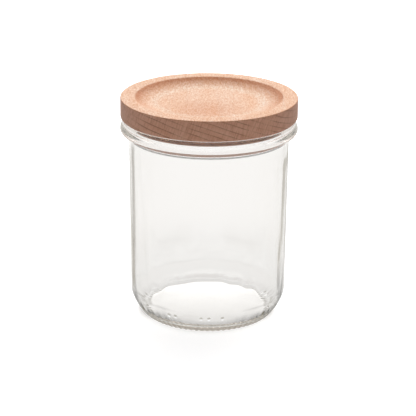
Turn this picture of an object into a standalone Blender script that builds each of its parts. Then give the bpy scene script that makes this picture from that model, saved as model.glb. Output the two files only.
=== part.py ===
"""Straight-sided glass preserving jar with a turned beech lid that presses into its mouth.

Three pieces, all turned about the Z axis: the glass jar, the beech lid with its plug, and the silicone seal
that sits in a groove round the plug. Lengths are in metres, +Z is up, and the jar stands on Z = 0.
"""

import math

import bmesh
import bpy
from mathutils import Matrix, Vector

# Clearances
FIT_GAP = 0.0003             # between two pieces that touch
CUT_OVERRUN = 0.0010         # how far a cutter reaches past the face that it cuts

# Facets round a turned piece
JAR_FACETS = 96
LID_FACETS = 72
SEAL_FACETS = 72

# Glass jar: body
JAR_HEIGHT = 0.1278          # table to the top of the rim
BODY_TOP_RADIUS = 0.0499     # outside, just under the neck ring
BODY_TAPER = 0.00115         # how much narrower the body is above its heel
WALL = 0.0031
HEEL_HEIGHT = 0.0156         # table to where the sides turn in
HEEL_WIDTH = 0.00985         # from the side in to the bearing ring
HEEL_FULLNESS = 1.39         # exponent of the heel's curve: 1 is a chamfer, 2 a quarter ellipse
BEARING_WIDTH = 0.0033       # flat ring that the jar stands on
PUSH_UP = 0.0007             # hollow under the middle of the base
PUSH_UP_FLATNESS = 2.0       # exponent of the hollow's curve: higher is flatter in the middle
BASE_THICKNESS = 0.0043      # glass over the middle of the hollow
INNER_HEEL_WIDTH = 0.0070
INNER_HEEL_HEIGHT = 0.0140
INNER_HEEL_FULLNESS = 2.0

# Glass jar: neck
MOUTH_STEP = 0.0003          # the mouth is this much wider in radius than the inside of the body
MOUTH_DEPTH = 0.0188         # rim down to the shoulder inside the neck
SHOULDER_HEIGHT = 0.0140
RIM_WALL = 0.0064
RIM_HEIGHT = 0.0023          # straight band between the rim's lip and the neck ring
LIP_ROUND = 0.0005           # rounding of the rim's two edges
RING_PROUD = 0.0017          # how far the neck ring stands out from the rim
RING_SLOPE_HEIGHT = 0.0032   # the ring's sloping upper side
RING_BAND_HEIGHT = 0.0013    # the ring's outer face
RING_UNDERCUT = 0.0011       # how far the lower edge of the outer face draws in
RING_EDGE_HEIGHT = 0.0016    # the sloping lower edge
RING_EDGE_FULLNESS = 1.05    # exponent of its curve, nearly a chamfer
RING_UNDERSIDE_DROP = 0.0006  # the underside slopes this much towards the body
NECK_FILLET = 0.0022         # hollow where the underside meets the body

# Glass jar: notches across the bearing ring, which let the hot jar leave its plate in the glassworks
NOTCH_COUNT = 72
NOTCH_WIDTH = 0.0016
NOTCH_DEPTH = 0.0004
NOTCH_REACH = 0.0020         # how far a notch runs past either edge of the bearing ring

# Beech lid
LID_OVERHANG = 0.0015        # the slab is this much wider in radius than the rim
LID_THICKNESS = 0.0129
LID_TOP_EDGE = 0.0005
LID_LOWER_EDGE = 0.0013
LID_RIM_WIDTH = 0.0091       # flat ring round the dish
DISH_DEPTH = 0.0040
COVE_WIDTH = 0.0140          # the dish's curved side, from its edge to its flat floor
PLUG_CLEARANCE = 0.0009      # between the wooden plug and the mouth
PLUG_NECK_HEIGHT = 0.0016    # plug between the slab and the seal
PLUG_FOOT_HEIGHT = 0.0010    # plug below the seal
PLUG_EDGE = 0.0003
GROOVE_DEPTH = 0.0016

# Silicone seal
SEAL_HEIGHT = 0.0018
FIN_HEIGHT = 0.0006          # thickness of one fin where it leaves the band
FIN_TIP_HEIGHT = 0.0003
FIN_SPACING = 0.0010         # middle of one fin to the middle of the other

# Steps along the curved stretches of the outlines
HEEL_STEPS = 8
PUSH_UP_STEPS = 4
INNER_HEEL_STEPS = 5
SHOULDER_STEPS = 4
LIP_STEPS = 2
RING_EDGE_STEPS = 4
COVE_STEPS = 6
EDGE_STEPS = 2

# Looks: linear RGB colour and roughness of each piece
GLASS_COLOUR = (0.92, 0.93, 0.90)
GLASS_ROUGHNESS = 0.02
BEECH_COLOUR = (0.66, 0.42, 0.29)
BEECH_ROUGHNESS = 0.55
SILICONE_COLOUR = (0.85, 0.84, 0.80)
SILICONE_ROUGHNESS = 0.2
CLEAR = 1.0                  # transmission of the glass and the silicone

SHARP_ANGLE = math.radians(40)
WELD_DISTANCE = 0.000001

# Sizes that follow from the ones above
INSIDE_RADIUS = BODY_TOP_RADIUS - WALL
MOUTH_RADIUS = INSIDE_RADIUS + MOUTH_STEP
RIM_RADIUS = MOUTH_RADIUS + RIM_WALL
RING_RADIUS = RIM_RADIUS + RING_PROUD
FOOT_RADIUS = BODY_TOP_RADIUS - BODY_TAPER
BEARING_RADIUS = FOOT_RADIUS - HEEL_WIDTH
BEARING_INNER_RADIUS = BEARING_RADIUS - BEARING_WIDTH
FLOOR_HEIGHT = PUSH_UP + BASE_THICKNESS
LID_UNDERSIDE = JAR_HEIGHT + FIT_GAP
LID_RADIUS = RIM_RADIUS + LID_OVERHANG
LID_TOP = LID_UNDERSIDE + LID_THICKNESS
DISH_RADIUS = LID_RADIUS - LID_RIM_WIDTH
PLUG_RADIUS = MOUTH_RADIUS - PLUG_CLEARANCE
GROOVE_TOP = LID_UNDERSIDE - PLUG_NECK_HEIGHT
GROOVE_BOTTOM = GROOVE_TOP - SEAL_HEIGHT - 2 * FIT_GAP
PLUG_BOTTOM = GROOVE_BOTTOM - PLUG_FOOT_HEIGHT
GROOVE_RADIUS = PLUG_RADIUS - GROOVE_DEPTH


def bend(start, corner, end, steps, fullness=2.0):
    """Points of a quarter superellipse from start to end that bulges towards corner.

    At angle a the point lies 1 - sin(a) ** (2 / fullness) of the way from corner to start, plus
    1 - cos(a) ** (2 / fullness) of the way from corner to end. The list holds start and end themselves.
    """
    points = []
    for step in range(steps + 1):
        angle = step / steps * math.pi / 2
        along_start = 1 - math.sin(angle) ** (2 / fullness)
        along_end = 1 - math.cos(angle) ** (2 / fullness)
        radius = corner[0] + (start[0] - corner[0]) * along_start + (end[0] - corner[0]) * along_end
        height = corner[1] + (start[1] - corner[1]) * along_start + (end[1] - corner[1]) * along_end
        points.append((radius, height))
    return points


def ease(start, end, steps):
    """Points of an S curve: the radius follows half a cosine wave while the height goes evenly."""
    points = []
    for step in range(steps + 1):
        share = step / steps
        swing = (1 - math.cos(share * math.pi)) / 2
        points.append((start[0] + (end[0] - start[0]) * swing, start[1] + (end[1] - start[1]) * share))
    return points


def cove(start, end, steps):
    """Points of a circular arc that falls from start and meets a flat floor smoothly at end.

    With width w and depth d its radius is (w * w + d * d) / (2 * d), and at s from the end it has risen by
    radius - sqrt(radius * radius - s * s).
    """
    width = start[0] - end[0]
    depth = start[1] - end[1]
    arc_radius = (width ** 2 + depth ** 2) / (2 * depth)
    points = []
    for step in range(steps + 1):
        from_end = width * (1 - step / steps)
        rise = arc_radius - math.sqrt(arc_radius ** 2 - from_end ** 2)
        points.append((end[0] + from_end, end[1] + rise))
    return points


def hollow():
    """The push-up under the base, from its middle out: height falls as (radius / edge) to the flatness."""
    points = []
    for step in range(PUSH_UP_STEPS):
        share = math.sin(step / PUSH_UP_STEPS * math.pi / 2)
        points.append((BEARING_INNER_RADIUS * share, PUSH_UP * (1 - share ** PUSH_UP_FLATNESS)))
    return points


def jar_outline():
    """(radius, height) from the middle of the base, up the outside, over the rim and down to the floor."""
    lip_bottom = JAR_HEIGHT - LIP_ROUND
    ring_top = lip_bottom - RIM_HEIGHT
    band_top = ring_top - RING_SLOPE_HEIGHT
    band_bottom = band_top - RING_BAND_HEIGHT
    edge_bottom = band_bottom - RING_EDGE_HEIGHT
    neck_height = edge_bottom - RING_UNDERSIDE_DROP
    edge_radius = RING_RADIUS - RING_UNDERCUT
    shoulder_top = JAR_HEIGHT - MOUTH_DEPTH
    shoulder_bottom = shoulder_top - SHOULDER_HEIGHT
    inner_foot_radius = FOOT_RADIUS - WALL
    floor_radius = inner_foot_radius - INNER_HEEL_WIDTH
    inner_heel_top = FLOOR_HEIGHT + INNER_HEEL_HEIGHT

    points = hollow()
    points += [(BEARING_INNER_RADIUS, 0)]
    points += bend(
        (BEARING_RADIUS, 0), (FOOT_RADIUS, 0), (FOOT_RADIUS, HEEL_HEIGHT), HEEL_STEPS, HEEL_FULLNESS
    )
    points += bend(
        (BODY_TOP_RADIUS, neck_height - NECK_FILLET),
        (BODY_TOP_RADIUS, neck_height),
        (BODY_TOP_RADIUS + NECK_FILLET, neck_height),
        EDGE_STEPS,
    )
    points += bend(
        (edge_radius, edge_bottom),
        (RING_RADIUS, edge_bottom),
        (RING_RADIUS, band_bottom),
        RING_EDGE_STEPS,
        RING_EDGE_FULLNESS,
    )
    points += ease((RING_RADIUS, band_top), (RIM_RADIUS, ring_top), SHOULDER_STEPS)
    points += bend(
        (RIM_RADIUS, lip_bottom), (RIM_RADIUS, JAR_HEIGHT), (RIM_RADIUS - LIP_ROUND, JAR_HEIGHT), LIP_STEPS
    )
    points += bend(
        (MOUTH_RADIUS + LIP_ROUND, JAR_HEIGHT),
        (MOUTH_RADIUS, JAR_HEIGHT),
        (MOUTH_RADIUS, lip_bottom),
        LIP_STEPS,
    )
    points += ease((MOUTH_RADIUS, shoulder_top), (INSIDE_RADIUS, shoulder_bottom), SHOULDER_STEPS)
    points += bend(
        (inner_foot_radius, inner_heel_top),
        (inner_foot_radius, FLOOR_HEIGHT),
        (floor_radius, FLOOR_HEIGHT),
        INNER_HEEL_STEPS,
        INNER_HEEL_FULLNESS,
    )
    points += [(0, FLOOR_HEIGHT)]
    return points


def lid_outline():
    """(radius, height) from the middle of the plug's underside, out, up the lid and in to the dish."""
    points = [(0, PLUG_BOTTOM)]
    points += bend(
        (PLUG_RADIUS - PLUG_EDGE, PLUG_BOTTOM),
        (PLUG_RADIUS, PLUG_BOTTOM),
        (PLUG_RADIUS, PLUG_BOTTOM + PLUG_EDGE),
        EDGE_STEPS,
    )
    points += [(PLUG_RADIUS, GROOVE_BOTTOM), (GROOVE_RADIUS, GROOVE_BOTTOM)]
    points += [(GROOVE_RADIUS, GROOVE_TOP), (PLUG_RADIUS, GROOVE_TOP)]
    points += [(PLUG_RADIUS, LID_UNDERSIDE)]
    points += bend(
        (LID_RADIUS - LID_LOWER_EDGE, LID_UNDERSIDE),
        (LID_RADIUS, LID_UNDERSIDE),
        (LID_RADIUS, LID_UNDERSIDE + LID_LOWER_EDGE),
        EDGE_STEPS,
    )
    points += bend(
        (LID_RADIUS, LID_TOP - LID_TOP_EDGE),
        (LID_RADIUS, LID_TOP),
        (LID_RADIUS - LID_TOP_EDGE, LID_TOP),
        EDGE_STEPS,
    )
    points += cove((DISH_RADIUS, LID_TOP), (DISH_RADIUS - COVE_WIDTH, LID_TOP - DISH_DEPTH), COVE_STEPS)
    points += [(0, LID_TOP - DISH_DEPTH)]
    return points


def seal_outline():
    """The closed section of the seal: a flat band with two tapered fins that reach towards the glass."""
    bottom = GROOVE_BOTTOM + FIT_GAP
    top = bottom + SEAL_HEIGHT
    middle = (bottom + top) / 2
    inner_radius = GROOVE_RADIUS + FIT_GAP
    fin_radius = MOUTH_RADIUS - FIT_GAP
    points = [(inner_radius, bottom), (PLUG_RADIUS, bottom)]
    for fin_middle in (middle - FIN_SPACING / 2, middle + FIN_SPACING / 2):
        points += [(PLUG_RADIUS, fin_middle - FIN_HEIGHT / 2), (fin_radius, fin_middle - FIN_TIP_HEIGHT / 2)]
        points += [(fin_radius, fin_middle + FIN_TIP_HEIGHT / 2), (PLUG_RADIUS, fin_middle + FIN_HEIGHT / 2)]
    points += [(PLUG_RADIUS, top), (inner_radius, top)]
    return points


def clear_scene():
    for scene_object in list(bpy.data.objects):
        bpy.data.objects.remove(scene_object, do_unlink=True)


def surface_material(name, colour, roughness, transmission=0.0):
    """A Principled material in one linear RGB colour."""
    material = bpy.data.materials.new(name)
    material.use_nodes = True
    shader = material.node_tree.nodes["Principled BSDF"]
    shader.inputs["Base Color"].default_value = (*colour, 1)
    shader.inputs["Roughness"].default_value = roughness
    shader.inputs["Metallic"].default_value = 0
    shader.inputs["Transmission Weight"].default_value = transmission
    material.diffuse_color = (*colour, 1)
    return material


def turned_piece(name, outline, facets, material, closed=False):
    """Spins an outline round the Z axis. A closed one makes a ring, and an open one has its ends on the axis."""
    shape = bmesh.new()
    points = [shape.verts.new((radius, 0, height)) for radius, height in outline]
    edges = [shape.edges.new(pair) for pair in zip(points, points[1:])]
    if closed:
        edges.append(shape.edges.new((points[-1], points[0])))
    bmesh.ops.spin(
        shape,
        geom=points + edges,
        cent=Vector((0, 0, 0)),
        axis=Vector((0, 0, 1)),
        angle=2 * math.pi,
        steps=facets,
        use_merge=True,
    )
    bmesh.ops.remove_doubles(shape, verts=shape.verts, dist=WELD_DISTANCE)
    bmesh.ops.recalc_face_normals(shape, faces=shape.faces)
    mesh = bpy.data.meshes.new(name)
    shape.to_mesh(mesh)
    shape.free()
    mesh.shade_smooth()
    mesh.set_sharp_from_angle(angle=SHARP_ANGLE)
    mesh.materials.append(material)
    piece = bpy.data.objects.new(name, mesh)
    bpy.context.scene.collection.objects.link(piece)
    return piece


def notch_cutters():
    """One small block for each notch across the bearing ring, all in one hidden mesh."""
    inner = BEARING_INNER_RADIUS - NOTCH_REACH
    outer = BEARING_RADIUS + NOTCH_REACH
    height = NOTCH_DEPTH + CUT_OVERRUN
    block = Matrix.Diagonal((outer - inner, NOTCH_WIDTH, height, 1))
    place = Matrix.Translation(((inner + outer) / 2, 0, NOTCH_DEPTH - height / 2))
    shape = bmesh.new()
    for index in range(NOTCH_COUNT):
        turn = Matrix.Rotation((index + 0.5) / NOTCH_COUNT * 2 * math.pi, 4, "Z")
        bmesh.ops.create_cube(shape, size=1, matrix=turn @ place @ block)
    mesh = bpy.data.meshes.new("notch_cutters")
    shape.to_mesh(mesh)
    shape.free()
    cutters = bpy.data.objects.new("notch_cutters", mesh)
    bpy.context.scene.collection.objects.link(cutters)
    cutters.hide_render = True
    cutters.display_type = "WIRE"
    return cutters


def build_jar():
    glass = surface_material("clear_soda_lime_glass", GLASS_COLOUR, GLASS_ROUGHNESS, CLEAR)
    jar = turned_piece("glass_jar", jar_outline(), JAR_FACETS, glass)
    cut = jar.modifiers.new("bearing_notches", "BOOLEAN")
    cut.operation = "DIFFERENCE"
    cut.solver = "EXACT"
    cut.object = notch_cutters()
    return jar


def build_lid():
    """The lid and its seal, both on an empty at the rim, which lifts straight up with them."""
    beech = surface_material("turned_beech", BEECH_COLOUR, BEECH_ROUGHNESS)
    silicone = surface_material("clear_silicone", SILICONE_COLOUR, SILICONE_ROUGHNESS, CLEAR)
    lift = bpy.data.objects.new("lid_lift", None)
    bpy.context.scene.collection.objects.link(lift)
    lift.location = (0, 0, JAR_HEIGHT)
    lid = turned_piece("beech_lid", lid_outline(), LID_FACETS, beech)
    seal = turned_piece("silicone_seal", seal_outline(), SEAL_FACETS, silicone, closed=True)
    for piece in (lid, seal):
        piece.parent = lift
        piece.matrix_parent_inverse = Matrix.Translation((0, 0, -JAR_HEIGHT))
    return lid, seal


def build():
    clear_scene()
    build_jar()
    build_lid()


build()
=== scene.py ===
import math

import bpy
import numpy as np
from mathutils import Euler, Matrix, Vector


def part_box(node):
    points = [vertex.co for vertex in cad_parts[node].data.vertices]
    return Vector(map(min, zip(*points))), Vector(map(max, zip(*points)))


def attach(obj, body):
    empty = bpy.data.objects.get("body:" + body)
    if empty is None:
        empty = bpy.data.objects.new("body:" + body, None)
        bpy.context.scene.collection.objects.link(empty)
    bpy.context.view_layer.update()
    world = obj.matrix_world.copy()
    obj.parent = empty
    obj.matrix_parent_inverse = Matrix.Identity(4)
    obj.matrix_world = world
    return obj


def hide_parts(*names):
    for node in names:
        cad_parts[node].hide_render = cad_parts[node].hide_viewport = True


# Looks of a clear glass preserving jar with a turned beech lid and a silicone seal. Lengths are in metres, as
# in the frame, unless a name ends in MM. The camera stands on the -Y side, and +X is to its right.
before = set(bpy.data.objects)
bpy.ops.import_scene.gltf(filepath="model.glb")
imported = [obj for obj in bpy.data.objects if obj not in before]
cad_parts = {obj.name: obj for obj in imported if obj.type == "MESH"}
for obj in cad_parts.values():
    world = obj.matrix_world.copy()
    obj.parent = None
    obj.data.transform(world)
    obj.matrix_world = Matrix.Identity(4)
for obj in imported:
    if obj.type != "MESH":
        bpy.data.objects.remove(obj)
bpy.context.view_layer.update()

MM = 0.001


def whole(corner):
    """A frame corner in millimetres, to the nearest micrometre."""
    return [round(value / MM, 3) for value in corner]


# Sizes taken from the frame
_, JAR_HIGH = map(whole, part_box("glass_jar"))
LID_LOW, LID_HIGH = map(whole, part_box("beech_lid"))
SEAL_LOW, SEAL_HIGH = map(whole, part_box("silicone_seal"))
RING_RADIUS_MM = JAR_HIGH[0]
JAR_HEIGHT_MM = JAR_HIGH[2]
LID_RADIUS_MM = LID_HIGH[0]
LID_TOP_MM = LID_HIGH[2]
PLUG_BOTTOM_MM = LID_LOW[2]
SEAL_RADIUS_MM = SEAL_HIGH[0]

# Glass jar, in millimetres: the outline of the frame's solid, finely drawn and with its edges rounded
FIT_GAP_MM = 0.3
WALL_MM = 3.1
BODY_TOP_RADIUS_MM = 49.9
BODY_TAPER_MM = 1.15
HEEL_HEIGHT_MM = 15.6
HEEL_WIDTH_MM = 9.85
HEEL_FULLNESS = 1.39         # exponent of the heel's curve: 1 is a chamfer, 2 a quarter ellipse
BEARING_WIDTH_MM = 3.3
PUSH_UP_MM = 0.7
PUSH_UP_FLATNESS = 2
FLOOR_HEIGHT_MM = 5.0
INNER_HEEL_WIDTH_MM = 7.0
INNER_HEEL_HEIGHT_MM = 14.0
MOUTH_STEP_MM = 0.3
MOUTH_DEPTH_MM = 18.8
SHOULDER_HEIGHT_MM = 14.0
RIM_WALL_MM = 6.4
RIM_HEIGHT_MM = 2.3
LIP_ROUND_MM = 0.5
RING_SLOPE_HEIGHT_MM = 3.2
RING_BAND_HEIGHT_MM = 1.3
RING_UNDERCUT_MM = 1.1
RING_EDGE_HEIGHT_MM = 1.6
RING_EDGE_ROUND_MM = 0.3
RING_UNDERSIDE_DROP_MM = 0.6  # the ring's underside falls by this from its edge in to the neck
NECK_FILLET_MM = 2.2
NOTCH_COUNT = 72
NOTCH_DEPTH_MM = 0.4
NOTCH_REACH_MM = 3.5

# Mould dots low in front: small smooth domes
DOT_RADIUS_MM = 1.5
DOT_HEIGHT_MM = 0.3
DOTS = ((-29.9, 11.7), (-24.5, 11.6), (-4.6, 11.7), (1.1, 11.7), (11.2, 11.8))   # degrees round, millimetres up
DOT_GLEAM_PEAK = 2 / math.sqrt(27)   # the most that (1 - u * u) * u reaches

# Waves in the glass: the mould keeps the outside of a pressed and blown jar smooth, and the inside waves more.
# Each row is an amplitude in millimetres, waves round the jar, waves a metre up it and a phase.
OUTSIDE_WAVES = ((0.020, 4, 6, 1.0), (0.016, 9, -8, 3.1), (0.010, 15, 11, 0.2))
INSIDE_WAVES = (
    (0.10, 5, 3, 0.4), (0.08, 8, -5, 2.1), (0.06, 13, 4, 4.4), (0.05, 19, -7, 1.2), (0.03, 29, 9, 5.3),
)
FLOOR_WAVES = (
    (0.22, 11, 0, 0.3), (0.20, 17, 0, 1.9), (0.18, 26, 0, 4.0), (0.14, 37, 0, 2.6), (0.14, 53, 0, 0.8),
)
WAVES_RISE_MM = 10           # the walls' waves grow over this height above the heel
WAVES_TOP_MM = 110           # and end here, by the top of the inner shoulder
WAVES_FALL_MM = 8            # after they fade over this height
FLOOR_WAVES_LIFT_MM = 2      # the inner heel waves most this far above the floor
FLOOR_WAVES_REACH_MM = 5     # and less by this reach above and below that
FLOOR_WAVES_INNER_MM = 30    # and from this radius outwards, growing over FLOOR_WAVES_RISE_MM
FLOOR_WAVES_RISE_MM = 6
FLOOR_WAVES_FRONT_SHARE = 0.3        # in front it waves by this share of what it does at the back

# Lid and seal, in millimetres
LID_TOP_EDGE_MM = 0.5
LID_LOWER_EDGE_MM = 1.3
LID_RIM_WIDTH_MM = 9.1
DISH_DEPTH_MM = 4.0
COVE_WIDTH_MM = 14.0
PLUG_CLEARANCE_MM = 0.9
PLUG_EDGE_MM = 0.3
GROOVE_DEPTH_MM = 1.6
FIN_HEIGHT_MM = 0.6
FIN_TIP_HEIGHT_MM = 0.3
FIN_SPACING_MM = 1.0

INSIDE_RADIUS_MM = BODY_TOP_RADIUS_MM - WALL_MM
MOUTH_RADIUS_MM = INSIDE_RADIUS_MM + MOUTH_STEP_MM
RIM_RADIUS_MM = MOUTH_RADIUS_MM + RIM_WALL_MM
FOOT_RADIUS_MM = BODY_TOP_RADIUS_MM - BODY_TAPER_MM
BEARING_RADIUS_MM = FOOT_RADIUS_MM - HEEL_WIDTH_MM
BEARING_INNER_RADIUS_MM = BEARING_RADIUS_MM - BEARING_WIDTH_MM
PLUG_RADIUS_MM = MOUTH_RADIUS_MM - PLUG_CLEARANCE_MM
LID_UNDERSIDE_MM = JAR_HEIGHT_MM + FIT_GAP_MM
DISH_RADIUS_MM = LID_RADIUS_MM - LID_RIM_WIDTH_MM
RING_BOTTOM_MM = (JAR_HEIGHT_MM - LIP_ROUND_MM - RIM_HEIGHT_MM - RING_SLOPE_HEIGHT_MM - RING_BAND_HEIGHT_MM
                  - RING_EDGE_HEIGHT_MM)
NECK_MM = RING_BOTTOM_MM - RING_UNDERSIDE_DROP_MM

# Columns round each turned piece
JAR_COLUMNS = 480
FRONT_CROWDING = 0.5         # the jar's columns stand this share closer in front, where the mould dots are
LID_COLUMNS = 360
SEAL_COLUMNS = 240
HOLLOW_ROWS = 10             # rows of the jar's mesh in the hollow under its base
SEAL_ROWS = 3                # rows along each edge of the seal's section
SHARP_ANGLE = math.radians(40)       # edges of the lid and the seal that turn by more than this stay sharp


def bend(start, corner, end, steps, fullness=2.0):
    """A quarter superellipse from start to end that bulges towards corner, without its last point.

    At angle a it lies 1 - sin(a) ** (2 / fullness) of the way from corner to start, plus
    1 - cos(a) ** (2 / fullness) of the way from corner to end.
    """
    start, corner, end = (np.array(point, float) for point in (start, corner, end))
    angle = np.arange(steps)[:, None] / steps * math.pi / 2
    along_start = 1 - np.sin(angle) ** (2 / fullness)
    along_end = 1 - np.cos(angle) ** (2 / fullness)
    return corner + (start - corner) * along_start + (end - corner) * along_end


def ease(start, end, steps):
    """An S curve, without its last point: the radius follows half a cosine wave, and the height goes evenly."""
    share = np.arange(steps) / steps
    swing = (1 - np.cos(share * math.pi)) / 2
    radius = start[0] + (end[0] - start[0]) * swing
    height = start[1] + (end[1] - start[1]) * share
    return np.stack([radius, height], 1)


def cove(start, end, steps):
    """A circular arc, without its last point, that falls from start and meets a flat floor smoothly at end.

    With width w and depth d its radius is (w * w + d * d) / (2 * d), and s from the end it has risen by
    radius - sqrt(radius * radius - s * s).
    """
    width, depth = start[0] - end[0], start[1] - end[1]
    arc_radius = (width * width + depth * depth) / (2 * depth)
    from_end = width * (1 - np.arange(steps) / steps)
    rise = arc_radius - np.sqrt(arc_radius ** 2 - from_end ** 2)
    return np.stack([end[0] + from_end, end[1] + rise], 1)


def straight(start, end, steps):
    """Evenly spaced points from start towards end, without the last one."""
    share = np.arange(steps)[:, None] / steps
    return np.array(start, float) * (1 - share) + np.array(end, float) * share


def turned(profile, columns):
    """Cylinder coordinates of a profile carried round the Z axis: radius, height and angle.

    Each is a grid with a row for each point of the profile and a column for each step round. Angle 0 is on the
    camera's side, -Y.
    """
    angle = np.arange(columns) / columns * 2 * math.pi
    radius, height = profile[:, :1], profile[:, 1:]
    spread = np.ones((1, columns))
    return radius * spread, height * spread, np.ones((len(profile), 1)) * angle


def surface(name, radius, height, angle, ring=False, marks=None):
    """A closed mesh of grids in cylinder coordinates, in millimetres.

    x = radius * sin(angle) and y = -radius * cos(angle). The first and last rows are single points on the axis,
    or with ring they join up. Marks are a name and a grid of numbers that a material can read there.
    """
    rows, columns = radius.shape
    place = np.stack([radius * np.sin(angle), -radius * np.cos(angle), height], 2) * MM
    row, column = np.meshgrid(np.arange(rows - (not ring)), np.arange(columns), indexing="ij")
    over, along = (row + 1) % rows, (column + 1) % columns
    here, there = row * columns, over * columns
    quads = np.stack([here + column, here + along, there + along, there + column], 2)
    if ring:
        kept = slice(None)
        faces = quads.reshape(-1, 4).tolist()
    else:
        first, last = columns - 1, (rows - 1) * columns
        kept = slice(first, last + 1)
        inner = quads[1:-1].reshape(-1, 4)
        start_fan = np.stack([quads[0, :, 2], quads[0, :, 3], np.full(columns, first)], 1)
        end_fan = np.stack([quads[-1, :, 0], quads[-1, :, 1], np.full(columns, last)], 1)
        faces = (inner - first).tolist() + (start_fan - first).tolist() + (end_fan - first).tolist()
    mesh = bpy.data.meshes.new(name)
    mesh.from_pydata(place.reshape(-1, 3)[kept].tolist(), [], faces)
    mesh.shade_smooth()
    if marks:
        mark_name, values = marks
        attribute = mesh.attributes.new(mark_name, "FLOAT", "POINT")
        attribute.data.foreach_set("value", values.reshape(-1)[kept])
    piece = bpy.data.objects.new(name, mesh)
    bpy.context.scene.collection.objects.link(piece)
    return piece


def linear(hex_colour):
    """Linear RGBA of an sRGB colour written as #rrggbb."""
    channels = [int(hex_colour[i:i + 2], 16) / 255 for i in (1, 3, 5)]
    return (*[c / 12.92 if c <= 0.04045 else ((c + 0.055) / 1.055) ** 2.4 for c in channels], 1)


def add_node(tree, kind, inputs=None, **settings):
    """Adds a shader node with its settings.

    Inputs are given by name or number: a plain value, the socket that feeds it, or a node, which feeds it from
    its first output in use. Map Range has the value as 0, rises from 1 to 2, and gives 3 and 4 at these ends.
    Mix has its share as 0, two numbers as 2 and 3, and two colours as 6 and 7.
    """
    node = tree.nodes.new("ShaderNode" + kind)
    for name, value in settings.items():
        setattr(node, name, value)
    for name, value in (inputs or {}).items():
        if isinstance(value, bpy.types.Node):
            value = next(output for output in value.outputs if output.enabled)
        if isinstance(value, bpy.types.NodeSocket):
            tree.links.new(value, node.inputs[name])
        else:
            node.inputs[name].default_value = value
    return node


def new_material(name):
    """An empty node material and its node tree."""
    material = bpy.data.materials.new(name)
    material.use_nodes = True
    material.node_tree.nodes.clear()
    return material, material.node_tree


# Glass jar

def jar_profile():
    """(radius, height) from the middle of the base, up the outside, over the rim and down to the floor.

    The base's hollow rises to the middle as 1 - r ** PUSH_UP_FLATNESS, with r the share of its radius. The
    number that each stretch gives after its points is how many rows of the mesh it gets.
    """
    lip_bottom = JAR_HEIGHT_MM - LIP_ROUND_MM
    ring_top = lip_bottom - RIM_HEIGHT_MM
    band_top = ring_top - RING_SLOPE_HEIGHT_MM
    band_bottom = band_top - RING_BAND_HEIGHT_MM
    edge_radius = RING_RADIUS_MM - RING_UNDERCUT_MM
    shoulder_top = JAR_HEIGHT_MM - MOUTH_DEPTH_MM
    shoulder_bottom = shoulder_top - SHOULDER_HEIGHT_MM
    edge = np.array((edge_radius, RING_BOTTOM_MM))
    fillet_end = (BODY_TOP_RADIUS_MM + NECK_FILLET_MM, NECK_MM)
    inwards = np.array(fillet_end) - edge
    upwards = np.array((RING_RADIUS_MM, band_bottom)) - edge
    under_edge = edge + inwards / np.hypot(*inwards) * RING_EDGE_ROUND_MM
    over_edge = edge + upwards / np.hypot(*upwards) * RING_EDGE_ROUND_MM
    inner_foot = FOOT_RADIUS_MM - WALL_MM
    inner_heel_top = FLOOR_HEIGHT_MM + INNER_HEEL_HEIGHT_MM
    share = np.sin(np.arange(HOLLOW_ROWS) / HOLLOW_ROWS * math.pi / 2)
    hollow = np.stack([BEARING_INNER_RADIUS_MM * share, PUSH_UP_MM * (1 - share ** PUSH_UP_FLATNESS)], 1)
    return np.concatenate([
        hollow,
        straight((BEARING_INNER_RADIUS_MM, 0), (BEARING_RADIUS_MM, 0), 5),
        bend((BEARING_RADIUS_MM, 0), (FOOT_RADIUS_MM, 0), (FOOT_RADIUS_MM, HEEL_HEIGHT_MM), 56, HEEL_FULLNESS),
        straight((FOOT_RADIUS_MM, HEEL_HEIGHT_MM), (BODY_TOP_RADIUS_MM, NECK_MM - NECK_FILLET_MM), 16),
        bend((BODY_TOP_RADIUS_MM, NECK_MM - NECK_FILLET_MM), (BODY_TOP_RADIUS_MM, NECK_MM), fillet_end, 5),
        straight(fillet_end, under_edge, 4),
        bend(under_edge, edge, over_edge, 6),
        straight(over_edge, (RING_RADIUS_MM, band_bottom), 7),
        straight((RING_RADIUS_MM, band_bottom), (RING_RADIUS_MM, band_top), 3),
        ease((RING_RADIUS_MM, band_top), (RIM_RADIUS_MM, ring_top), 8),
        straight((RIM_RADIUS_MM, ring_top), (RIM_RADIUS_MM, lip_bottom), 2),
        bend((RIM_RADIUS_MM, lip_bottom), (RIM_RADIUS_MM, JAR_HEIGHT_MM),
             (RIM_RADIUS_MM - LIP_ROUND_MM, JAR_HEIGHT_MM), 6),
        straight((RIM_RADIUS_MM - LIP_ROUND_MM, JAR_HEIGHT_MM),
                 (MOUTH_RADIUS_MM + LIP_ROUND_MM, JAR_HEIGHT_MM), 3),
        bend((MOUTH_RADIUS_MM + LIP_ROUND_MM, JAR_HEIGHT_MM), (MOUTH_RADIUS_MM, JAR_HEIGHT_MM),
             (MOUTH_RADIUS_MM, lip_bottom), 6),
        straight((MOUTH_RADIUS_MM, lip_bottom), (MOUTH_RADIUS_MM, shoulder_top), 4),
        ease((MOUTH_RADIUS_MM, shoulder_top), (INSIDE_RADIUS_MM, shoulder_bottom), 10),
        straight((INSIDE_RADIUS_MM, shoulder_bottom), (inner_foot, inner_heel_top), 20),
        bend((inner_foot, inner_heel_top), (inner_foot, FLOOR_HEIGHT_MM),
             (inner_foot - INNER_HEEL_WIDTH_MM, FLOOR_HEIGHT_MM), 22),
        straight((inner_foot - INNER_HEEL_WIDTH_MM, FLOOR_HEIGHT_MM), (0, FLOOR_HEIGHT_MM), 12),
        [(0, FLOOR_HEIGHT_MM)],
    ])


def waves(angle, height, table):
    """Sum of amplitude * sin(around * angle + 2 * pi * upward * height + phase) over the rows of a table."""
    total = np.zeros_like(angle)
    for amplitude, around, upward, phase in table:
        total += amplitude * np.sin(around * angle + upward * height * MM * 2 * math.pi + phase)
    return total


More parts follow.
